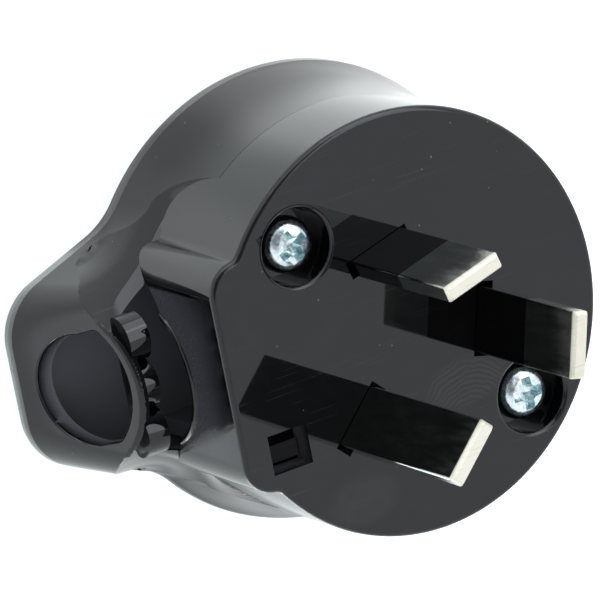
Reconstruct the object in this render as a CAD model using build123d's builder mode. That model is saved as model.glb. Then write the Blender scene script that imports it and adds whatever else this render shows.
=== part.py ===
"""Side entry plug: rewirable three-pin plug with flat blades, a two-part moulded
body held by two screws from the pin face, and a cord tab on one side.

Frame: origin at the centre of the pin arrangement on the engagement face,
+Z along the pins, +X towards the cord entry.  Millimetres.
"""

import os
from math import cos, radians, sin

from build123d import *

os.makedirs("parts", exist_ok=True)

# ---------------------------------------------------------------- dimensions
# flat blades
blade_w = 6.35  # blade width
blade_t = 1.63  # blade thickness
live_len = 17.06  # active and neutral, beyond the face
earth_len = 19.94  # earth, beyond the face
live_r = 7.92  # centre of the live blades from the plug centre
earth_r = 10.31  # centre of the earth blade from the plug centre
earth_ang = 45.0  # direction of the earth blade, from the cord direction
active_ang = earth_ang + 120.0
neutral_ang = earth_ang - 120.0
tip_ease = 0.28  # tip drawn in on every side
tip_len = 0.5  # over this length
blade_edge = 0.22  # rounding of the blade's long edges
sleeve_end = 8.6  # insulating sleeve reaches this far beyond the face
sleeve_in = 2.0  # and this far into the face plate
core_w = 5.45  # blade core inside the sleeve
core_t = 0.95

# front body
face_r = 20.5
face_t = 2.8  # face plate thickness
wall = 2.0
face_round = 0.55
neck_x = 20.3  # end wall of the neck
neck_w = 11.4  # half width of the neck
neck_round = 3.2
neck_blend = 1.3  # rounding of the inner corners beside the neck
slot_clear = 0.06
slot_notch = 0.42  # extra slot length beyond each blade edge

# parting between the two mouldings
part_z = -9.5  # around the round part
neck_depth = 17.0  # the neck's sides reach down to the cover's shoulders, above this
part_gap = 0.12  # open seam between the mouldings

# cover screws, from the face
screw_at = ((10.47, -10.66), (-11.33, 10.87))  # centres
bore_r = 3.7  # counterbore
seat_z = -2.9  # head seat
boss_r = 4.7
shank_r = 1.5
shank_hole_r = 1.7
head_r = 2.75
head_h = 2.2
head_round = 1.75  # domed rim
screw_len = 12.9
post_r = 3.2
post_hole = 8.6
recess_l, recess_w, recess_deep = 3.2, 1.05, 1.2  # cross recess
head_turns = (25.0, 0.0)  # how the two heads came to rest

# square window in the face and the locating peg of the cover below it
win_x, win_y = 15.3, 7.75
win_lx, win_ly = 4.25, 3.85
peg_lx, peg_ly = 3.3, 1.7
peg_dy = 0.45
peg_top = -1.7

# rear cover
back_z = -23.5
cord_z = -13.4  # axis of the cord entry
cord_r = 5.5
hole_left, hole_right = (-6.1, -11.2), (5.0, -10.8)  # upper corners of the cord hole
arch_r = 6.7  # arch in the neck's end wall
arch_y, arch_z = 0.8, -14.0
lip_r = 0.3  # lip along its rim
strap_round = 0.6  # eased outer edge of the strap
hole_round = 0.3  # eased rim of the cord hole
floor_t = 2.0
end_walls = (1.75, 1.75, 1.75, 1.5, 0.8)  # tab end wall, from the floor up to the strap
grip_x0, grip_x1 = 23.4, 25.6  # cord grip behind the strap
grip_r = 2.35
grip_pitch = 4.6
grip_z = -10.0
grip_base = -10.6

# tunnel terminals on the inner ends of the blades
term_w = 6.6
term_t = 5.2
term_h = 8.0
tenon_w = 4.2
tenon_len = 3.0
tunnel_r = 1.45
tunnel_z = -face_t - 5.2
term_screw_r = 1.45
term_head_r = 2.3
term_head_h = 1.5
term_back_z = -face_t - term_h
pillar_r = 3.5
pillar_bore_r = 2.65
pillar_bore = 3.4
term_backed_out = 0.9


def polar(r, ang):
    return (r * cos(radians(ang)), r * sin(radians(ang)))


# pin name: (centre radius, direction, length, blade width direction)
pins = {
    "active": (live_r, active_ang, live_len, active_ang + 90.0),
    "neutral": (live_r, neutral_ang, live_len, neutral_ang + 90.0),
    "earth": (earth_r, earth_ang, earth_len, earth_ang),
}


def pin_plane(name, z=0.0):
    """Plane at height z on the blade's axis, local X along the blade width."""
    r, ang, _, turn = pins[name]
    x, y = polar(r, ang)
    return Plane(
        origin=(x, y, z),
        x_dir=(cos(radians(turn)), sin(radians(turn)), 0),
        z_dir=(0, 0, 1),
    )


# ---------------------------------------------------------------- shoulders
# one smooth surface runs from the seam beside the neck over the cover's shoulders
# to the crown of the strap: half profiles (y, z) at stations along X
shoulders = {
    12.0: [(0, -11.6), (5.0, -11.2), (10.0, -10.5), (14.0, -9.6), (16.7, -9.55), (19.5, -12.5)],
    15.0: [(0, -11.2), (5.0, -11.5), (9.0, -12.3), (12.2, -13.5), (14.0, -15.1), (17.0, -19.5)],
    19.0: [(0, -10.2), (4.6, -10.9), (8.0, -12.2), (9.8, -13.5), (11.0, -15.3), (12.7, -20.2)],
    25.3: [(0, -7.2), (3.4, -7.95), (6.3, -10.1), (8.1, -12.6), (9.3, -14.9), (10.3, -19.2)],
    29.5: [(0, -7.0), (3.4, -7.75), (6.3, -10.0), (8.1, -12.5), (9.3, -14.8), (10.3, -19.2)],
}

with BuildPart() as tab_space:
    for x, points in shoulders.items():
        y1, z1 = points[-1]
        with BuildSketch(Plane.YZ.offset(x)):
            with BuildLine():
                Spline(*[(-y, z) for y, z in reversed(points[1:])], *points)
                Polyline((y1, z1), (30, z1), (30, 2), (-30, 2), (-30, z1), (-y1, z1))
            make_face()
    loft()

# ---------------------------------------------------------------- front body
# everything in front of the parting surface
with BuildPart() as front_zone:
    with BuildSketch(Plane.XY.offset(part_z)):
        Rectangle(90, 90)
    extrude(amount=20)
    add(tab_space.part.moved(Location((0, 0, part_gap))))

# half round lip along the rim of the arch
with BuildPart() as arch_lip:
    with BuildSketch(
        Plane((neck_x, arch_y, arch_z + arch_r + 0.2), x_dir=(1, 0, 0), z_dir=(0, -1, 0))
    ):
        Circle(lip_r)
    revolve(axis=Axis((0, arch_y, arch_z), (1, 0, 0)))
    add(front_zone.part, mode=Mode.INTERSECT)

with BuildPart() as front_body:
    # round face with a short neck towards the cord entry
    with BuildSketch() as front_plan:
        Circle(face_r)
        # the neck's end wall is flat right across
        with Locations((neck_x - 30, 0)):
            Rectangle(60, 60, mode=Mode.INTERSECT)
        with BuildLine():
            Polyline(
                (0, -neck_w),
                (neck_x, -neck_w),
                (neck_x, neck_w),
                (0, neck_w),
                close=True,
            )
        make_face()
        corners = front_plan.vertices().filter_by(
            lambda v: v.X > neck_x - 0.1 and abs(v.Y) > neck_w - 0.1
        )
        fillet(corners, neck_round)
        # growing and shrinking the outline rounds its two inner corners
        offset(amount=neck_blend)
        offset(amount=-neck_blend)
    extrude(amount=-neck_depth)
    fillet(front_body.faces().sort_by(Axis.Z)[-1].edges(), face_round)
    # hollow behind the face plate
    with BuildSketch(Plane.XY.offset(-face_t)) as hollow_plan:
        Circle(face_r - wall)
        with BuildLine():
            Polyline(
                (0, -neck_w + wall),
                (neck_x - wall, -neck_w + wall),
                (neck_x - wall, neck_w - wall),
                (0, neck_w - wall),
                close=True,
            )
        make_face()
        corners = hollow_plan.vertices().filter_by(lambda v: v.X > neck_x - wall - 0.1)
        fillet(corners, neck_round - wall + 0.6)
    extrude(amount=-neck_depth, mode=Mode.SUBTRACT)
    # bosses round the cover screws
    with BuildSketch(Plane.XY.offset(-face_t)):
        with Locations(*screw_at):
            Circle(boss_r)
    extrude(amount=part_z + face_t)
    # barriers between the three terminals
    with BuildSketch(Plane.XY.offset(-face_t)):
        with PolarLocations(0, 3, start_angle=earth_ang + 60.0):
            with Locations((6.2, 0)):
                Rectangle(12.4, 1.3)
    extrude(amount=part_z + face_t + 0.5)
    # nothing stands behind the parting surface
    add(front_zone.part, mode=Mode.INTERSECT)
    # slots for the blades
    for pin in pins:
        with BuildSketch(pin_plane(pin, 1.0)):
            Rectangle(blade_w + 2 * slot_notch, blade_t + 2 * slot_clear)
        extrude(amount=-face_t - 2, mode=Mode.SUBTRACT)
    # counterbored screw holes with an eased rim
    for x, y in screw_at:
        with BuildSketch(Plane.XY.offset(1)):
            with Locations((x, y)):
                Circle(bore_r)
        extrude(amount=seat_z - 1, mode=Mode.SUBTRACT)
        with BuildSketch(Plane.XY.offset(1)):
            with Locations((x, y)):
                Circle(shank_hole_r)
        extrude(amount=-30, mode=Mode.SUBTRACT)
    rims = front_body.edges().filter_by(GeomType.CIRCLE).filter_by(
        lambda e: abs(e.radius - bore_r) < 0.01 and abs(e.center().Z) < 0.05
    )
    fillet(rims, 0.4)
    # square window
    with BuildSketch(Plane.XY.offset(1)):
        with Locations((win_x, win_y)):
            Rectangle(win_lx, win_ly)
    extrude(amount=-face_t - 2, mode=Mode.SUBTRACT)
    # arch for the cord in the neck's end wall
    with BuildSketch(Plane.YZ.offset(neck_x - wall - 2)):
        with Locations((arch_y, arch_z)):
            Circle(arch_r)
    extrude(amount=10, mode=Mode.SUBTRACT)
    add(arch_lip.part)
front_body.part.label = "front_body"

# ---------------------------------------------------------------- rear cover
# plan sections: height, round radius, tab half width at x = 20, tab end, corner
side_slope = 0.37
sections = [
    (back_z, 22.05, 11.9, 31.75, 6.2),
    (-21.0, 22.25, 11.9, 31.2, 6.0),
    (-18.0, 21.6, 11.75, 30.1, 5.6),
    (-15.0, 20.95, 11.6, 28.85, 5.1),
    (-12.0, 20.6, 11.45, 27.65, 4.6),
    (-6.0, 20.5, 11.2, 25.3, 4.2),
]

with BuildPart() as cover_outer:
    for z, r, w20, xe, rc in sections:
        with BuildSketch(Plane.XY.offset(z)) as plan:
            Circle(r)
            with BuildLine():
                Polyline(
                    (6, -w20 - side_slope * 14),
                    (xe, -w20 + side_slope * (xe - 20)),
                    (xe, w20 - side_slope * (xe - 20)),
                    (6, w20 + side_slope * 14),
                    close=True,
                )
            make_face()
            roots = plan.vertices().filter_by(lambda v: v.X < xe - 1)
            fillet(roots, 8.0)
            corners = plan.vertices().filter_by(lambda v: v.X > xe - 0.01)
            fillet(corners, rc)
    loft()
    back_edges = cover_outer.faces().sort_by(Axis.Z)[0].edges()
    fillet(back_edges, 1.9)

with BuildPart() as cover_inner:
    for (z, r, w20, xe, rc), end_t in zip(sections[1:], end_walls):
        with BuildSketch(Plane.XY.offset(max(z, back_z + floor_t))) as plan:
            Circle(r - wall - 0.3)
            with BuildLine():
                Polyline(
                    (6, -w20 + 3.0 - side_slope * 14),
                    (xe - end_t, -w20 + 3.0 + side_slope * (xe - end_t - 20)),
                    (xe - end_t, w20 - 3.0 - side_slope * (xe - end_t - 20)),
                    (6, w20 - 3.0 + side_slope * 14),
                    close=True,
                )
            make_face()
            roots = plan.vertices().filter_by(lambda v: v.X < xe - 3)
            fillet(roots, 2.0)
            corners = plan.vertices().filter_by(lambda v: v.X > xe - end_t - 0.01)
            fillet(corners, 1.6)
    loft()

# space in front of the seam, up to the neck's end wall
with BuildPart() as neck_space:
    with BuildSketch(Plane.XY.offset(part_z - part_gap)):
        with Locations((neck_x + part_gap - 30, 0)):
            Rectangle(60, 60)
    extrude(amount=20)

with BuildPart() as rear_cover:
    add(cover_outer.part)
    add(tab_space.part, mode=Mode.SUBTRACT)
    # eased edges round the strap's outer side
    crown = rear_cover.edges().filter_by(
        lambda e: e.center().X > 25.6 and -13.5 < e.center().Z
    )
    fillet(crown, strap_round)
    add(cover_inner.part, mode=Mode.SUBTRACT)
    add(neck_space.part, mode=Mode.SUBTRACT)
    # cord hole through the tab's end wall, under the strap
    with BuildSketch(Plane.YZ.offset(24.0)) as hole_plan:
        with BuildLine():
            ThreePointArc((-cord_r, cord_z), (0, cord_z - cord_r), (cord_r, cord_z))
            Line((cord_r, cord_z), hole_right)
            ThreePointArc(hole_right, (0, -8.5), hole_left)
            Line(hole_left, (-cord_r, cord_z))
        make_face()
        fillet(hole_plan.vertices().filter_by(lambda v: v.Y > cord_z + 1), 1.0)
    extrude(amount=12, mode=Mode.SUBTRACT)
    hole_rim = rear_cover.edges().filter_by(
        lambda e: abs(e.center().Y) < cord_r + 0.7
        and -19.4 < e.center().Z < -8.2
        and e.center().X > 27.2 - 0.4 * (e.center().Z + 12)
    )
    fillet(hole_rim, hole_round)
    # cord grip behind the strap: three rounded ribs
    with BuildSketch(Plane.YZ.offset(grip_x0)):
        with Locations((0, (grip_z + grip_base) / 2)):
            Rectangle(2 * (grip_pitch + grip_r) - 0.3, grip_z - grip_base)
        with Locations((-grip_pitch, grip_z), (0, grip_z), (grip_pitch, grip_z)):
            Circle(grip_r)
        with Locations((0, grip_base - 5)):
            Rectangle(40, 10, mode=Mode.SUBTRACT)
    extrude(amount=grip_x1 - grip_x0)
    # screw posts, terminal supports and the locating peg stand on the floor
    with BuildSketch(Plane.XY.offset(back_z + 1)):
        with Locations(*screw_at):
            Circle(post_r)
    extrude(amount=part_z - back_z - 1)
    with BuildSketch(Plane.XY.offset(back_z + 1)):
        with Locations(*[polar(p[0], p[1]) for p in pins.values()]):
            Circle(pillar_r)
    extrude(amount=term_back_z - back_z - 1)
    with BuildSketch(Plane.XY.offset(back_z + 1)):
        with Locations((win_x, win_y + peg_dy)):
            Rectangle(peg_lx, peg_ly)
    extrude(amount=peg_top - back_z - 1)
    with BuildSketch(Plane.XY.offset(part_z + 1)):
        with Locations(*screw_at):
            Circle(shank_r)
    extrude(amount=-(1 + post_hole), mode=Mode.SUBTRACT)
    with BuildSketch(Plane.XY.offset(term_back_z + 1)):
        with Locations(*[polar(p[0], p[1]) for p in pins.values()]):
            Circle(pillar_bore_r)
    extrude(amount=-(1 + pillar_bore), mode=Mode.SUBTRACT)
rear_cover.part.label = "rear_cover"

# ---------------------------------------------------------------- blades
blades = {}
for name, (r, ang, length, turn) in pins.items():
    with BuildPart() as blade:
        start = sleeve_end if name != "earth" else -face_t
        with BuildSketch(pin_plane(name, start)):
            RectangleRounded(blade_w, blade_t, blade_edge)
        extrude(amount=length - tip_len - start)
        # eased tip
        with BuildSketch(pin_plane(name, length - tip_len)):
            RectangleRounded(blade_w, blade_t, blade_edge)
        with BuildSketch(pin_plane(name, length)):
            RectangleRounded(blade_w - 2 * tip_ease, blade_t - 2 * tip_ease, blade_edge)
        loft()
        if name != "earth":
            with BuildSketch(pin_plane(name, -sleeve_in)):
                Rectangle(core_w, core_t)
            extrude(amount=sleeve_end + sleeve_in)
            with BuildSketch(pin_plane(name, -face_t)):
                RectangleRounded(blade_w, blade_t, blade_edge)
            extrude(amount=face_t - sleeve_in)
        # tenon in the terminal block
        with BuildSketch(pin_plane(name, -face_t)):
            Rectangle(tenon_w, blade_t)
        extrude(amount=-tenon_len)
    blade.part.label = name + "_pin"
    blades[name] = blade.part

# ---------------------------------------------------------------- sleeves
sleeves = {}
for name in ("active", "neutral"):
    with BuildPart() as sleeve:
        with BuildSketch(pin_plane(name, -sleeve_in)):
            RectangleRounded(blade_w, blade_t, blade_edge)
            Rectangle(core_w, core_t, mode=Mode.SUBTRACT)
        extrude(amount=sleeve_end + sleeve_in)
    sleeve.part.label = name + "_sleeve"
    sleeves[name] = sleeve.part

# ---------------------------------------------------------------- terminals
terminals = {}
for name in pins:
    with BuildPart() as terminal:
        with BuildSketch(pin_plane(name, -face_t)):
            Rectangle(term_w, term_t)
        extrude(amount=-term_h)
        fillet(terminal.edges().filter_by(Axis.Z), 0.6)
        with BuildSketch(pin_plane(name, -face_t)):
            Rectangle(tenon_w, blade_t)
        extrude(amount=-tenon_len, mode=Mode.SUBTRACT)
        # wire tunnel across the block, level with the face
        base = pin_plane(name, tunnel_z)
        with BuildSketch(Plane(base.origin - base.y_dir * 10, x_dir=base.x_dir, z_dir=base.y_dir)):
            Circle(tunnel_r)
        extrude(amount=20, mode=Mode.SUBTRACT)
        # screw hole from the back
        with BuildSketch(pin_plane(name, term_back_z)):
            Circle(term_screw_r)
        extrude(amount=tunnel_z - term_back_z, mode=Mode.SUBTRACT)
    terminal.part.label = name + "_terminal"
    terminals[name] = terminal.part

# ---------------------------------------------------------------- screws
with BuildPart() as terminal_screws:
    for name in pins:
        with BuildSketch(pin_plane(name, tunnel_z - 0.2)):
            Circle(term_screw_r)
        extrude(amount=term_back_z - term_backed_out - tunnel_z + 0.2)
        with BuildSketch(pin_plane(name, term_back_z - term_backed_out)):
            Circle(term_head_r)
        extrude(amount=-term_head_h)
        with BuildSketch(pin_plane(name, term_back_z - term_backed_out - term_head_h)):
            Rectangle(6, 0.7)
        extrude(amount=0.8, mode=Mode.SUBTRACT)
terminal_screws.part.label = "terminal_screws"

with BuildPart() as cover_screws:
    for x, y in screw_at:
        with BuildSketch(Plane.XY.offset(seat_z)):
            with Locations((x, y)):
                Circle(head_r)
        extrude(amount=head_h)
        with BuildSketch(Plane.XY.offset(seat_z)):
            with Locations((x, y)):
                Circle(shank_r)
        extrude(amount=-screw_len)
    head_rims = cover_screws.edges().filter_by(GeomType.CIRCLE).filter_by(
        lambda e: abs(e.center().Z - seat_z - head_h) < 0.01
    )
    fillet(head_rims, head_round)
    tips = cover_screws.edges().filter_by(GeomType.CIRCLE).filter_by(
        lambda e: abs(e.center().Z - seat_z + screw_len) < 0.01
    )
    chamfer(tips, 0.6)
    for (x, y), turn in zip(screw_at, head_turns):
        with BuildSketch(Plane.XY.offset(seat_z + head_h)):
            with Locations(Location((x, y), turn)):
                Rectangle(recess_l, recess_w)
                Rectangle(recess_w, recess_l)
                Circle(0.9)
        extrude(amount=-recess_deep, taper=14, mode=Mode.SUBTRACT)
cover_screws.part.label = "cover_screws"

# ---------------------------------------------------------------- files
export_step(front_body.part, "parts/front_body.step")
export_step(rear_cover.part, "parts/rear_cover.step")
for name in pins:
    export_step(blades[name], "parts/%s_pin.step" % name)
    export_step(terminals[name], "parts/%s_terminal.step" % name)
for name in sleeves:
    export_step(sleeves[name], "parts/%s_sleeve.step" % name)
export_step(terminal_screws.part, "parts/terminal_screws.step")
export_step(cover_screws.part, "parts/cover_screws.step")
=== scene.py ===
from math import cos, radians, sin

import bmesh
import bpy
import numpy as np
from mathutils import Matrix, Vector


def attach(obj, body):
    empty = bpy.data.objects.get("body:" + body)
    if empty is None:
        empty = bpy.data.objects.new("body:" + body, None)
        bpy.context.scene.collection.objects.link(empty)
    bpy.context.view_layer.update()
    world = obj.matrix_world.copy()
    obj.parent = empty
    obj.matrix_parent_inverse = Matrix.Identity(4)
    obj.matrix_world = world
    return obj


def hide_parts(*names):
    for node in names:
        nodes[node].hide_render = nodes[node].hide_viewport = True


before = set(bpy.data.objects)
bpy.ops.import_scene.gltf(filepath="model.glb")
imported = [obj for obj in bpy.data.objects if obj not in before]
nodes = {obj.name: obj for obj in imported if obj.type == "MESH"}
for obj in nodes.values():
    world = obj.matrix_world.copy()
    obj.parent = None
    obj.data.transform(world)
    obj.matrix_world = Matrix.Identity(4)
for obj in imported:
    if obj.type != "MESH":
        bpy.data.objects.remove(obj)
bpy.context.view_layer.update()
scene = bpy.context.scene

scene.view_settings.view_transform = "Standard"
scene.view_settings.look = "None"

# ---------------------------------------------------------------- camera
R = [
    Vector((-0.8394369679521287, 0.18556400966964928, 0.5107950422142521)),
    Vector((0.29811395798023854, 0.943095398309568, 0.14730627191220974)),
    Vector((-0.4543937113260854, 0.2759294620054908, -0.8469883630278914)),
]
RIGHT, UP, BACK = R[0], -R[1], -R[2]
cam_data = bpy.data.cameras.new("camera")
cam_data.sensor_width = 36.0
cam_data.lens = 480.0
cam_data.clip_start = 0.01
cam_data.clip_end = 20.0
cam = bpy.data.objects.new("camera", cam_data)
scene.collection.objects.link(cam)
m = Matrix((RIGHT, UP, BACK)).transposed().to_4x4()
m.translation = Vector((0.3491874779586312, -0.21097610836434671, 0.6299397137626571))
cam.matrix_world = m
scene.camera = cam


# ---------------------------------------------------------------- node helpers
class Tree:
    """Short hand for building a node tree."""

    def __init__(self, tree):
        self.t = tree

    def new(self, kind, **props):
        n = self.t.nodes.new(kind)
        for k, v in props.items():
            setattr(n, k, v)
        return n

    def put(self, socket, value):
        if isinstance(value, bpy.types.NodeSocket):
            self.t.links.new(value, socket)
        else:
            socket.default_value = value

    def math(self, op, a, b=None, c=None, clamp=False):
        n = self.new("ShaderNodeMath", operation=op, use_clamp=clamp)
        for i, v in enumerate((a, b, c)):
            if v is not None:
                self.put(n.inputs[i], v)
        return n.outputs[0]

    def dot(self, v, d):
        n = self.new("ShaderNodeVectorMath", operation="DOT_PRODUCT")
        self.put(n.inputs[0], v)
        n.inputs[1].default_value = d
        return n.outputs["Value"]

    def vec(self, op, a, b=None):
        n = self.new("ShaderNodeVectorMath", operation=op)
        self.put(n.inputs[0], a)
        if b is not None:
            self.put(n.inputs[1], b)
        return n.outputs["Vector"]

    def ramp(self, v, a, b, lo=0.0, hi=1.0, smooth=True):
        n = self.new("ShaderNodeMapRange")
        n.interpolation_type = "SMOOTHSTEP" if smooth else "LINEAR"
        n.clamp = True
        self.put(n.inputs["Value"], v)
        n.inputs["From Min"].default_value = a
        n.inputs["From Max"].default_value = b
        n.inputs["To Min"].default_value = lo
        n.inputs["To Max"].default_value = hi
        return n.outputs["Result"]

    def mix(self, f, a, b):
        n = self.new("ShaderNodeMix", data_type="RGBA")
        self.put(n.inputs[0], f)
        self.put(n.inputs[6], a)
        self.put(n.inputs[7], b)
        return n.outputs[2]

    def noise(self, v, scale, detail=2.0, rough=0.5, distortion=0.0):
        n = self.new("ShaderNodeTexNoise")
        self.put(n.inputs["Vector"], v)
        n.inputs["Scale"].default_value = scale
        n.inputs["Detail"].default_value = detail
        n.inputs["Roughness"].default_value = rough
        n.inputs["Distortion"].default_value = distortion
        return n.outputs["Fac"]


# ---------------------------------------------------------------- light
def toward(az, el):
    """Unit direction: az degrees to the right of the camera, el degrees above it."""
    a, e = radians(az), radians(el)
    return RIGHT * (cos(e) * sin(a)) + UP * sin(e) + BACK * (cos(e) * cos(a))


world = bpy.data.worlds.new("studio")
scene.world = world
world.use_nodes = True
w = Tree(world.node_tree)
direction = w.new("ShaderNodeTexCoord").outputs["Generated"]


def glow(centre, inner, outer):
    """Soft round light: 1 within inner degrees of centre, 0 beyond outer."""
    return w.ramp(w.dot(direction, centre), cos(radians(outer)), cos(radians(inner)))


def box_light(centre, across, half_w, half_h, soft):
    """Soft rectangular light seen round a direction, sizes as tangents."""
    centre = centre.normalized()
    a = (across - centre * across.dot(centre)).normalized()
    b = centre.cross(a)
    depth = w.math("MAXIMUM", w.dot(direction, centre), 0.001)
    u = w.math("ABSOLUTE", w.math("DIVIDE", w.dot(direction, a), depth))
    v = w.math("ABSOLUTE", w.math("DIVIDE", w.dot(direction, b), depth))
    fu = w.ramp(u, half_w + soft, half_w)
    fv = w.ramp(v, half_h + soft, half_h)
    front = w.ramp(w.dot(direction, centre), 0.05, 0.15)
    return w.math("MULTIPLY", w.math("MULTIPLY", fu, fv), front)


sky = 1.3
parts = [
    # (amount, mask)
    (-1.0, glow(toward(7, 3), 16, 40)),
    (1.7, box_light(toward(-20, 66), RIGHT, 1.1, 0.30, 0.10)),
    (1.3, box_light(toward(-82, 16), UP, 0.55, 0.45, 0.15)),
    (1.8, box_light(toward(53, 24), UP, 0.42, 0.20, 0.08)),
]
total = sky
for amount, mask in parts:
    total = w.math("ADD", total, w.math("MULTIPLY", mask, amount))
strength = w.math("MAXIMUM", total, 0.05)
camera_ray = w.new("ShaderNodeLightPath").outputs["Is Camera Ray"]
w.put(
    world.node_tree.nodes["Background"].inputs["Strength"],
    w.math("MAXIMUM", strength, w.math("MULTIPLY", camera_ray, 1.4)),
)
world.node_tree.nodes["Background"].inputs["Color"].default_value = (0.96, 0.98, 1.06, 1.0)


def soft_light(name, place, target, size, watts, glossy):
    data = bpy.data.lights.new(name, "AREA")
    data.shape = "RECTANGLE"
    data.size, data.size_y = size
    data.energy = watts
    o = bpy.data.objects.new(name, data)
    scene.collection.objects.link(o)
    o.location = place
    o.rotation_euler = (Vector(target) - Vector(place)).to_track_quat("-Z", "Y").to_euler()
    o.visible_glossy = glossy
    o.visible_camera = False
    return o


# the floor is lit past white; these lights don't show in the gloss
soft_light("fill", (0.0, 0.0, 0.9), (0, 0, 0), (1.6, 1.6), 10.0, False)
sheet_only = bpy.data.collections.new("sheet_only")


def pool(name, x, y, radius, watts, blend):
    """Spot from above that lights a round patch (mm) of the floor and nothing else."""
    o = bpy.data.objects.new(name, bpy.data.lights.new(name, "SPOT"))
    scene.collection.objects.link(o)
    o.location = (x / 1000.0, y / 1000.0, 0.88)
    o.data.energy = watts
    o.data.spot_size = 2 * radius / 903.5
    o.data.spot_blend = blend
    o.data.shadow_soft_size = 0.004
    o.visible_glossy = False
    o.light_linking.receiver_collection = sheet_only


pool("pool_back", -52.0, -12.5, 60.0, 85.0, 0.03)
pool("pool_tab", 78.0, -8.0, 38.0, 80.0, 0.2)
pool("pool_low", 29.0, 46.0, 22.0, 480.0, 0.3)
pool("pool_flank", 25.0, -18.0, 11.0, 50.0, 0.6)

# ---------------------------------------------------------------- floor
me = bpy.data.meshes.new("floor")
s = 3.0
me.from_pydata(
    [(-s, -s, -0.02354), (s, -s, -0.02354), (s, s, -0.02354), (-s, s, -0.02354)], [], [(0, 1, 2, 3)]
)
floor = bpy.data.objects.new("floor", me)
scene.collection.objects.link(floor)
sheet_only.objects.link(floor)
mat = bpy.data.materials.new("floor")
mat.use_nodes = True
b = mat.node_tree.nodes["Principled BSDF"]
b.inputs["Base Color"].default_value = (0.25, 0.25, 0.25, 1)
b.inputs["Roughness"].default_value = 0.9
b.inputs["Specular IOR Level"].default_value = 0.0
# a plain white sheet lit from below
b.inputs["Emission Color"].default_value = (0.92, 1.0, 1.01, 1)
ft = Tree(mat.node_tree)
place = ft.new("ShaderNodeSeparateXYZ")
ft.put(place.inputs[0], ft.new("ShaderNodeTexCoord").outputs["Object"])
x2 = ft.math("MULTIPLY", place.outputs["X"], place.outputs["X"])
reach = ft.math("SQRT", ft.math("ADD", x2, ft.math("MULTIPLY", place.outputs["Y"], place.outputs["Y"])))
# painted contact shadow: the floor's glow is dimmed in a narrow ring round the foot for all but camera rays, so the
# gloss mirrors it
seen = ft.new("ShaderNodeLightPath").outputs["Is Camera Ray"]
near = ft.math("MULTIPLY", ft.ramp(reach, 0.0257, 0.0236), ft.math("SUBTRACT", 1.0, seen))
ft.put(b.inputs["Emission Strength"], ft.math("MULTIPLY_ADD", near, -0.6, 0.88))
# clear from underneath, so that the back can be looked at
clear = ft.new("ShaderNodeBsdfTransparent")
sided = ft.new("ShaderNodeMixShader")
ft.put(sided.inputs[0], ft.new("ShaderNodeNewGeometry").outputs["Backfacing"])
ft.put(sided.inputs[1], b.outputs["BSDF"])
ft.put(sided.inputs[2], clear.outputs["BSDF"])
ft.put(mat.node_tree.nodes["Material Output"].inputs["Surface"], sided.outputs["Shader"])
floor.data.materials.append(mat)

# ---------------------------------------------------------------- smooth pieces
# outer sides of the rear cover: height, round radius, tab half width, tab end, corner
SECTIONS = np.array(
    [
        (-23.5, 22.05, 11.9, 31.75, 6.2),
        (-21.0, 22.25, 11.9, 31.2, 6.0),
        (-18.0, 21.6, 11.75, 30.1, 5.6),
        (-15.0, 20.95, 11.6, 28.85, 5.1),
        (-12.0, 20.6, 11.45, 27.65, 4.6),
        (-6.0, 20.5, 11.2, 25.3, 4.2),
    ]
)
CURVES = [np.polyfit(SECTIONS[:, 0], SECTIONS[:, i], 5) for i in range(1, 5)]


def outline(x, y, r, k, n, d, root, xe, rc):
    """Signed distance (mm) and outward normal of a round plan with a tab along +X.
    The tab's side is the line n.p = k, with a root fillet and end corners."""
    p = np.stack([x, np.abs(y)], 1)
    c = (k + root)[:, None] * n + np.sqrt((r + root) ** 2 - (k + root) ** 2)[:, None] * d
    kc = np.stack([xe - rc, (k - rc - n[0] * (xe - rc)) / n[1]], 1)
    on_circle = c[:, 0] * p[:, 1] - c[:, 1] * p[:, 0] > 0
    along = p @ d
    on_root = ~on_circle & (along < c @ d)
    on_line = ~on_circle & ~on_root & (along < kc @ d)
    on_end = ~on_circle & ~on_root & ~on_line & (p[:, 1] < kc[:, 1])
    v = p - kc
    dist = np.hypot(v[:, 0], v[:, 1]) - rc
    for mask, q, sign, rad in ((on_root, p - c, -1, root), (on_circle, p, 1, r)):
        h = np.hypot(q[:, 0], q[:, 1])
        dist = np.where(mask, sign * (h - rad), dist)
        v = np.where(mask[:, None], sign * q, v)
    dist = np.where(on_line, p @ n - k, dist)
    v = np.where(on_line[:, None], n, v)
    dist = np.where(on_end, p[:, 0] - xe, dist)
    v = np.where(on_end[:, None], np.array([1.0, 0.0]), v)
    v = v / np.maximum(np.hypot(v[:, 0], v[:, 1]), 1e-9)[:, None]
    v[:, 1] *= np.where(y < 0, -1.0, 1.0)
    return dist, v


def cover_side(co):
    """Distance and normal of the rear cover's outer side at points in mm."""
    slope = 0.37
    n = np.array([slope, 1.0]) / np.hypot(slope, 1.0)
    d = np.array([1.0, -slope]) / np.hypot(slope, 1.0)

    def at(z):
        r, w20, xe, rc = [np.polyval(c, z) for c in CURVES]
        k = (20 * slope + w20) / np.hypot(slope, 1.0)
        return outline(co[:, 0], co[:, 1], r, k, n, d, 8.0, xe, rc)

    dist, v = at(co[:, 2])
    # the flare runs on to a crisp edge at the rim
    z = np.maximum(co[:, 2], -19.6)
    dz = (at(z + 0.05)[0] - at(z - 0.05)[0]) / 0.1
    g = np.column_stack([v, dz])
    return dist, g / np.linalg.norm(g, axis=1)[:, None]


def body_side(co):
    """Distance and normal of the front body's straight side at points in mm."""
    one = np.ones(len(co))
    dist, v = outline(
        co[:, 0], co[:, 1], 20.5 * one, 11.4 * one, np.array([0.0, 1.0]), np.array([1.0, 0.0]),
        1.3, 20.3 * one, 3.2 * one,
    )
    return dist, np.column_stack([v, 0 * one])


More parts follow.
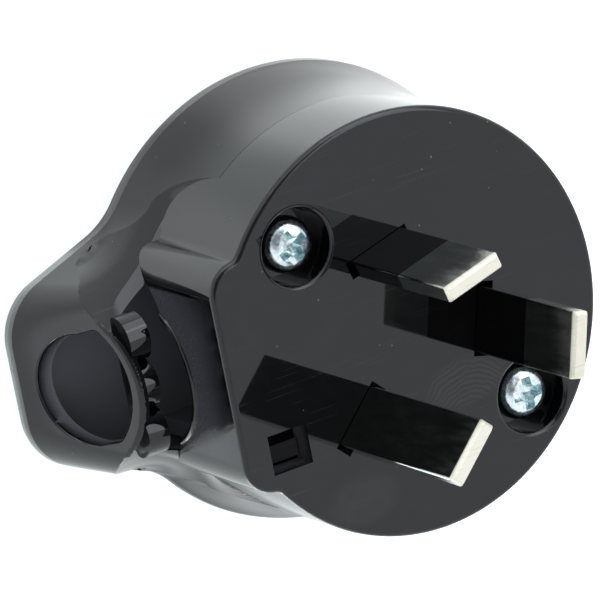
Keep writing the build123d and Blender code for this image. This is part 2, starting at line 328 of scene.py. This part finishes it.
# crown of the cord tab: half profiles (y, z) at stations along X
CROWN = {
    12.0: [(0, -11.6), (5.0, -11.2), (10.0, -10.5), (14.0, -9.6), (16.7, -9.55), (19.5, -12.5)],
    15.0: [(0, -11.2), (5.0, -11.5), (9.0, -12.3), (12.2, -13.5), (14.0, -15.1), (17.0, -19.5)],
    19.0: [(0, -10.2), (4.6, -10.9), (8.0, -12.2), (9.8, -13.5), (11.0, -15.3), (12.7, -20.2)],
    25.3: [(0, -7.2), (3.4, -7.95), (6.3, -10.1), (8.1, -12.6), (9.3, -14.9), (10.3, -19.2)],
    29.5: [(0, -7.0), (3.4, -7.75), (6.3, -10.0), (8.1, -12.5), (9.3, -14.8), (10.3, -19.2)],
}


def crown_height(x, y):
    """Height of the tab's upper surface (mm), straight between the profiles."""
    xs = np.array(sorted(CROWN))
    rows = np.array([np.interp(np.abs(y), *np.array(CROWN[k]).T) for k in xs])
    x = np.clip(x, xs[0], xs[-1])
    i = np.clip(np.searchsorted(xs, x) - 1, 0, len(xs) - 2)
    t = (x - xs[i]) / (xs[i + 1] - xs[i])
    j = np.arange(len(x))
    return rows[i, j] * (1 - t) + rows[i + 1, j] * t


def spline(t, v):
    """Natural cubic spline through (t, v), as a function."""
    n = len(t)
    h = np.diff(t)
    a = np.eye(n)
    rhs = np.zeros(n)
    for i in range(1, n - 1):
        a[i, i - 1 : i + 2] = h[i - 1], 2 * (h[i - 1] + h[i]), h[i]
        rhs[i] = 6 * ((v[i + 1] - v[i]) / h[i] - (v[i] - v[i - 1]) / h[i - 1])
    m = np.linalg.solve(a, rhs)

    def value(q):
        i = np.clip(np.searchsorted(t, q) - 1, 0, n - 2)
        l, r = q - t[i], t[i + 1] - q
        return (
            (m[i] * r**3 + m[i + 1] * l**3) / (6 * h[i])
            + (v[i] / h[i] - m[i] * h[i] / 6) * r
            + (v[i + 1] / h[i] - m[i + 1] * h[i] / 6) * l
        )

    return value


def crown_normal(co):
    """Distance and normal of the tab's smooth upper surface at points in mm."""
    xs = np.array(sorted(CROWN))
    grid = np.linspace(0.0, 1.0, 241)
    ys, zs = [], []
    for k in xs:
        half = np.array(CROWN[k], float)
        whole = np.vstack([half[:0:-1] * (-1, 1), half])
        t = np.concatenate([[0], np.cumsum(np.hypot(*np.diff(whole, axis=0).T))])
        t /= t[-1]
        ys.append(spline(t, whole[:, 0])(grid))
        zs.append(spline(t, whole[:, 1])(grid))
    solve = np.linalg.inv(np.vander(xs - 20.0, len(xs)))

    def height(x, y):
        power = np.vander(np.clip(x, 12.0, 29.5) - 20.0, len(xs)) @ solve
        out = np.empty(len(x))
        for i in range(len(x)):
            out[i] = np.interp(y[i], power[i] @ np.array(ys), power[i] @ np.array(zs))
        return out

    x, y, z = co.T
    e = 0.08
    here = height(x, y)
    gx = (height(x + e, y) - height(x - e, y)) / (2 * e)
    gy = (height(x, y + e) - height(x, y - e)) / (2 * e)
    g = np.column_stack([-gx, -gy, np.ones(len(x))])
    size = np.linalg.norm(g, axis=1)
    return (z - here) / size, g / size[:, None]


def rise(v, a, b):
    t = np.clip((v - a) / (b - a), 0.0, 1.0)
    return t * t * (3 - 2 * t)


def hidden_body(co, depth):
    """How far a point of the front body is inside it: 0 on the outside, 1 within. The neck's end wall takes 0.5 of
    the satin's lighter colour, painted light.
    """
    x, y, z = co.T
    bore = np.zeros(len(co), bool)
    for sx, sy in ((10.47, -10.66), (-11.33, 10.87)):
        bore |= (np.hypot(x - sx, y - sy) < 3.8) & (z > -3.0)
    # painted light: the neck's end wall, though outside, takes half the inner sides' lighter satin colour
    painted_end_wall = 0.5 * ((np.abs(x - 20.3) < 0.02) & (z < -0.6) & (np.abs(y) < 8.15))
    return np.maximum(rise(depth, 0.35, 0.7) * rise(-z, 2.7, 2.8) * ~bore, painted_end_wall)


def hidden_cover(co, depth):
    """The same for the rear cover."""
    x, y, z = co.T
    under = crown_height(x, y) - z
    below = np.where(x > 25.7, rise(under, 0.9, 1.2), rise(under, 1.4, 2.0))
    below = np.where(x > 12.0, below, 1.0)
    grip = (x > 23.2) & (x < 26.7) & (z > -10.7) & (np.abs(y) < 7.3)
    peg = (np.hypot(x - 15.3, y - 8.2) < 2.2) & (z > -9.0)
    return rise(depth, 0.3, 0.55) * below * ~grip * ~peg


def smooth_piece(node, name, side=None, z_range=None, hidden=None, angle=40.0, crown=False, rim_z=-20.9):
    """Welded copy of a node's mesh, with normals that leave flat faces flat and
    follow the moulding's true sides."""
    src = nodes[node].data
    bm = bmesh.new()
    bm.from_mesh(src)
    bmesh.ops.remove_doubles(bm, verts=bm.verts, dist=5e-7)
    bmesh.ops.dissolve_degenerate(bm, edges=bm.edges, dist=1e-7)
    if crown:
        # close the hairline ledge where the tab's upper surface runs out on its sides
        ledge = set()
        for f in bm.faces:
            c = f.calc_center_median() * 1000.0
            if f.normal.z > 0.85 and 18 < c.x < 27 and 9 < abs(c.y) < 13.5 and -20.6 < c.z < -18.5:
                ledge.update(f.verts)
        bmesh.ops.remove_doubles(bm, verts=list(ledge), dist=4e-4)
        every = bm.verts[:] + bm.edges[:] + bm.faces[:]
        bmesh.ops.bisect_plane(bm, geom=every, dist=1e-7, plane_co=(0, 0, rim_z / 1000.0), plane_no=(0, 0, 1))
    bmesh.ops.triangulate(bm, faces=bm.faces)
    me = bpy.data.meshes.new(name)
    bm.to_mesh(me)
    bm.free()
    for attr in [a.name for a in me.attributes if a.name in ("custom_normal", "sharp_edge", "sharp_face")]:
        me.attributes.remove(me.attributes[attr])
    me.materials.clear()
    nf, nl, nv = len(me.polygons), len(me.loops), len(me.vertices)
    co = np.empty(nv * 3)
    me.vertices.foreach_get("co", co)
    co = co.reshape(-1, 3)
    tri = np.empty(nl, np.int64)
    me.loops.foreach_get("vertex_index", tri)
    tri = tri.reshape(-1, 3)
    e1, e2 = co[tri[:, 1]] - co[tri[:, 0]], co[tri[:, 2]] - co[tri[:, 0]]
    cr = np.cross(e1, e2)
    area = np.linalg.norm(cr, axis=1)
    fn = cr / np.maximum(area, 1e-20)[:, None]
    # each corner takes the faces round its vertex that lie within the angle
    corner = tri.ravel()
    face_of = np.repeat(np.arange(nf), 3)
    order = np.argsort(corner, kind="stable")
    count = np.bincount(corner, minlength=nv)
    first = np.cumsum(count) - count
    reps = count[corner[order]]
    here = np.repeat(order, reps)
    step = np.arange(len(here)) - np.repeat(np.cumsum(reps) - reps, reps)
    other = face_of[order[first[corner[here]] + step]]
    near = (fn[face_of[here]] * fn[other]).sum(1) > cos(radians(angle))
    here, other = here[near], other[near]
    weight = fn[other] * area[other][:, None]
    normals = np.column_stack([np.bincount(here, weights=weight[:, i], minlength=nl) for i in range(3)])
    normals /= np.maximum(np.linalg.norm(normals, axis=1), 1e-20)[:, None]
    depth = np.zeros(nv)
    if side is not None:
        dist, g = side(co * 1000.0)
        zmm = co[:, 2] * 1000.0
        fit = (np.abs(dist) < 0.03) & (zmm > z_range[0]) & (zmm < z_range[1])
        middle = zmm[tri].mean(1)[face_of]
        use = fit[corner] & ((fn[face_of] * g[corner]).sum(1) > 0.8) & (middle > z_range[0] + 0.1)
        normals[use] = g[corner][use]
        depth = hidden(co * 1000.0, -dist)
    if crown:
        # smooth upper surface of the tab
        mm = co * 1000.0
        some = np.flatnonzero((mm[:, 0] > 12.2) & (mm[:, 2] > -20.5) & (depth < 0.5))
        dist, g = crown_normal(mm[some])
        off = np.full(nv, 9.0)
        off[some] = np.abs(dist)
        top = np.zeros((nv, 3))
        top[some] = g
        on = (off[tri].max(1) < 0.3)[face_of] & ((fn[face_of] * top[corner]).sum(1) > 0.88)
        on &= ~np.repeat(use.reshape(-1, 3).all(1), 3)
        normals[on] = top[corner][on]
        # the end of the locating peg is shaded as if it sloped towards the tab
        mid = mm[tri].mean(1)
        peg = (np.hypot(mid[:, 0] - 15.3, mid[:, 1] - 8.2) < 2.3) & (mid[:, 2] > -9.0) & (fn[:, 2] > 0.95)
        normals[peg[face_of]] = (0.40, -0.28, 0.872)
        # the rim below the flare is shaded as if it leaned under, with a crisp upper edge
        flat = np.hypot(fn[:, 0], fn[:, 1])
        band = (zmm[tri].mean(1) < rim_z) & (flat > 0.85)
        turn = np.maximum(-fn[:, 2], 0.25 * rise(mid[:, 0], 0.0, 14.0))
        lean = np.column_stack([side(mm)[1][:, :2][corner], np.zeros(nl)])
        lean /= np.maximum(np.linalg.norm(lean, axis=1), 1e-9)[:, None]
        lean = lean * np.sqrt(1 - turn[face_of] ** 2)[:, None]
        lean[:, 2] = -turn[face_of]
        outer = (np.abs(side(mm)[0]) < 1.0)[corner]
        lean_on = band[face_of] & outer
        normals[lean_on] = lean[lean_on]
    me.attributes.new("inside", "FLOAT", "POINT").data.foreach_set("value", depth)
    me.polygons.foreach_set("use_smooth", [True] * nf)
    me.normals_split_custom_set(normals.tolist())
    me.update()
    o = bpy.data.objects.new(name, me)
    scene.collection.objects.link(o)
    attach(o, "root")
    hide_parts(node)
    return o


# ---------------------------------------------------------------- materials
def material(name):
    mt = bpy.data.materials.new(name)
    mt.use_nodes = True
    t = Tree(mt.node_tree)
    return mt, t, mt.node_tree.nodes["Principled BSDF"]


def object_mm(t):
    """Object coordinates in millimetres."""
    n = t.new("ShaderNodeVectorMath", operation="SCALE")
    t.put(n.inputs[0], t.new("ShaderNodeTexCoord").outputs["Object"])
    n.inputs["Scale"].default_value = 1000.0
    return n.outputs["Vector"]


def turned(t, v, angles, scale):
    n = t.new("ShaderNodeMapping")
    t.put(n.inputs["Vector"], v)
    n.inputs["Rotation"].default_value = angles
    n.inputs["Scale"].default_value = scale
    return n.outputs["Vector"]


def gloss_black():
    mt, t, b = material("black_gloss")
    v = object_mm(t)
    # handling marks: cloudy film, fine hairlines, dust
    film = t.ramp(t.noise(v, 0.16, 4.0, 0.62), 0.50, 0.74)
    hair1 = t.ramp(t.noise(turned(t, v, (0.0, 0.0, 0.5), (0.12, 9.0, 2.0)), 1.0, 1.0), 0.715, 0.74)
    hair2 = t.ramp(t.noise(turned(t, v, (0.3, 0.2, 2.1), (0.09, 11.0, 3.0)), 1.0, 1.0), 0.725, 0.75)
    hairs = t.math("MAXIMUM", hair1, hair2)
    cell = t.new("ShaderNodeTexVoronoi")
    t.put(cell.inputs["Vector"], v)
    cell.inputs["Scale"].default_value = 0.75
    sep = t.new("ShaderNodeSeparateColor")
    t.put(sep.inputs[0], cell.outputs["Color"])
    size = t.ramp(sep.outputs[0], 0.55, 1.0, 0.0, 0.075, smooth=False)
    dust = t.math("LESS_THAN", cell.outputs["Distance"], size)
    shade = t.mix(film, (0.0011, 0.0011, 0.0012, 1), (0.0022, 0.0022, 0.0024, 1))
    # a finger mark and a wiped patch on the face
    xyz = t.new("ShaderNodeSeparateXYZ")
    t.put(xyz.inputs[0], v)
    on_face = t.ramp(xyz.outputs["Z"], -0.08, -0.03)

    def patch(cx, cy, rx, ry):
        dx = t.math("DIVIDE", t.math("SUBTRACT", xyz.outputs["X"], cx), rx)
        dy = t.math("DIVIDE", t.math("SUBTRACT", xyz.outputs["Y"], cy), ry)
        r2 = t.math("ADD", t.math("MULTIPLY", dx, dx), t.math("MULTIPLY", dy, dy))
        return t.math("MULTIPLY", t.ramp(r2, 1.0, 0.3), on_face)

    rx = t.math("SUBTRACT", xyz.outputs["X"], -4.4)
    ry = t.math("SUBTRACT", xyz.outputs["Y"], 11.5)
    ring = t.math("SQRT", t.math("ADD", t.math("MULTIPLY", rx, rx), t.math("MULTIPLY", ry, ry)))
    ring = t.math("ADD", ring, t.math("MULTIPLY", t.noise(v, 0.5, 1.0), 1.2))
    ridge = t.math("MULTIPLY_ADD", t.math("SINE", t.math("MULTIPLY", ring, 12.6)), 0.5, 0.5)
    mark = t.math("MULTIPLY", ridge, patch(-4.4, 7.4, 5.2, 2.7))
    wiped = t.math("MULTIPLY", t.noise(v, 0.9, 3.0, 0.6), patch(8.6, 15.0, 4.6, 2.8))
    marks = t.math("MAXIMUM", mark, wiped)
    shade = t.mix(marks, shade, (0.0095, 0.0092, 0.0085, 1))
    shade = t.mix(t.math("MULTIPLY", hairs, 0.5), shade, (0.02, 0.02, 0.02, 1))
    shade = t.mix(t.math("MULTIPLY", dust, 0.6), shade, (0.10, 0.10, 0.10, 1))
    rough = t.math("ADD", 0.030, t.math("MULTIPLY", film, 0.045))
    rough = t.math("ADD", rough, t.math("MULTIPLY", hairs, 0.12))
    rough = t.math("ADD", rough, t.math("MULTIPLY", dust, 0.4))
    # the mouldings are satin on their inner sides; the lighter colour there is painted light, standing in for the
    # light inside the hollows
    inner = t.new("ShaderNodeAttribute", attribute_name="inside").outputs["Fac"]
    grain = t.noise(v, 6.0, 3.0, 0.6)
    satin_painted_light = t.mix(grain, (0.056, 0.057, 0.066, 1), (0.092, 0.093, 0.106, 1))
    t.put(b.inputs["Base Color"], t.mix(inner, shade, satin_painted_light))
    satin_rough = t.ramp(grain, 0.2, 0.8, 0.5, 0.62)
    keep = t.math("SUBTRACT", 1.0, inner)
    t.put(
        b.inputs["Roughness"],
        t.math("ADD", t.math("MULTIPLY", rough, keep), t.math("MULTIPLY", satin_rough, inner)),
    )
    b.inputs["IOR"].default_value = 1.46
    bump = t.new("ShaderNodeBump")
    bump.inputs["Strength"].default_value = 0.02
    bump.inputs["Distance"].default_value = 0.00002
    t.put(bump.inputs["Height"], t.noise(v, 1.2, 2.0))
    t.put(b.inputs["Normal"], bump.outputs["Normal"])
    return mt


def sleeve_black():
    mt, t, b = material("sleeve_satin")
    v = object_mm(t)
    grain = t.noise(v, 7.0, 2.0)
    scuff = t.ramp(t.noise(turned(t, v, (0, 0, 0.3), (6.0, 6.0, 0.25)), 1.0, 2.0), 0.62, 0.75)
    b.inputs["IOR"].default_value = 1.38
    t.put(b.inputs["Base Color"], t.mix(t.math("MULTIPLY", scuff, 0.4), (0.0008, 0.0008, 0.0009, 1), (0.006, 0.006, 0.0056, 1)))
    t.put(b.inputs["Roughness"], t.math("ADD", t.ramp(grain, 0.2, 0.8, 0.09, 0.15), t.math("MULTIPLY", scuff, 0.1)))
    bump = t.new("ShaderNodeBump")
    bump.inputs["Strength"].default_value = 0.05
    bump.inputs["Distance"].default_value = 0.00002
    t.put(bump.inputs["Height"], grain)
    t.put(b.inputs["Normal"], bump.outputs["Normal"])
    return mt


def pin_nickel(name, tip_z, along, worn):
    mt, t, b = material(name)
    v = object_mm(t)
    xyz = t.new("ShaderNodeSeparateXYZ")
    t.put(xyz.inputs[0], v)
    tip = t.ramp(xyz.outputs["Z"], tip_z - 0.62, tip_z - 0.42)
    wipe = t.noise(turned(t, v, (0, 0, 0), (1.2, 1.2, 0.25)), 1.0, 3.0, 0.6)
    lines = t.noise(turned(t, v, (0, 0, along), (0.25, 14.0, 1.0)), 1.0, 2.0)
    lines = t.ramp(lines, 0.60, 0.72)
    # duller and greener by the sleeve, rubbed bright towards the tip
    rub = t.ramp(t.math("ADD", xyz.outputs["Z"], t.math("MULTIPLY", wipe, 3.0)), tip_z - 3.2, tip_z + 0.8, 0.0, worn)
    clean = t.mix(wipe, (0.25, 0.29, 0.265, 1), (0.42, 0.45, 0.41, 1))
    clean = t.mix(rub, clean, (0.66, 0.65, 0.58, 1))
    cream = t.mix(lines, (0.70, 0.68, 0.58, 1), (0.50, 0.48, 0.40, 1))
    t.put(b.inputs["Base Color"], t.mix(tip, clean, cream))
    rough = t.math("ADD", t.ramp(wipe, 0.25, 0.75, 0.07, 0.15), t.math("MULTIPLY", rub, 0.16))
    t.put(b.inputs["Roughness"], t.math("ADD", rough, t.math("MULTIPLY", tip, 0.42)))
    b.inputs["Metallic"].default_value = 1.0
    bump = t.new("ShaderNodeBump")
    bump.inputs["Strength"].default_value = 0.12
    bump.inputs["Distance"].default_value = 0.00002
    t.put(bump.inputs["Height"], t.math("ADD", t.math("MULTIPLY", lines, tip), t.math("MULTIPLY", wipe, 0.3)))
    t.put(b.inputs["Normal"], bump.outputs["Normal"])
    return mt


def zinc():
    mt, t, b = material("zinc")
    v = object_mm(t)
    mott = t.noise(v, 2.4, 4.0, 0.65)
    t.put(b.inputs["Base Color"], t.mix(t.ramp(mott, 0.35, 0.7), (0.50, 0.62, 0.63, 1), (0.80, 0.86, 0.86, 1)))
    t.put(b.inputs["Roughness"], t.ramp(mott, 0.3, 0.7, 0.10, 0.26))
    b.inputs["Metallic"].default_value = 1.0
    bump = t.new("ShaderNodeBump")
    bump.inputs["Strength"].default_value = 0.25
    bump.inputs["Distance"].default_value = 0.00006
    t.put(bump.inputs["Height"], t.noise(v, 3.2, 3.0, 0.6))
    t.put(b.inputs["Normal"], bump.outputs["Normal"])
    return mt


def brass():
    mt, t, b = material("brass")
    v = object_mm(t)
    turn = t.noise(turned(t, v, (0, 0, 0), (1.0, 1.0, 9.0)), 1.0, 3.0)
    t.put(b.inputs["Base Color"], t.mix(turn, (0.62, 0.42, 0.17, 1), (0.80, 0.58, 0.28, 1)))
    t.put(b.inputs["Roughness"], t.ramp(turn, 0.3, 0.7, 0.2, 0.36))
    b.inputs["Metallic"].default_value = 1.0
    return mt


shine = gloss_black()
satin = sleeve_black()
plated = zinc()
terminal = brass()

body = smooth_piece("front_body", "front_moulding", body_side, (-17.0, -0.54), hidden_body)
cover = smooth_piece("rear_cover", "rear_moulding", cover_side, (-21.7, -9.4), hidden_cover, crown=True)
for o in (body, cover):
    o.data.materials.append(shine)

pins = {
    "active_pin": (17.06, radians(165 + 90), 0.8),
    "neutral_pin": (17.06, radians(-75 + 90), 0.35),
    "earth_pin": (19.94, radians(45), 0.15),
}
for n, (tip_z, along, worn) in pins.items():
    o = smooth_piece(n, n.replace("_pin", "_blade"))
    o.data.materials.append(pin_nickel("nickel_" + n, tip_z, -along, worn))
for n in ("active_sleeve", "neutral_sleeve"):
    o = smooth_piece(n, n.replace("_sleeve", "_blade_sleeve"))
    o.data.materials.append(satin)
o = smooth_piece("cover_screws", "pan_head_screws")
o.data.materials.append(plated)
for n in ("active_terminal", "neutral_terminal", "earth_terminal"):
    nodes[n].data.materials.clear()
    nodes[n].data.materials.append(terminal)
nodes["terminal_screws"].data.materials.clear()
nodes["terminal_screws"].data.materials.append(plated)
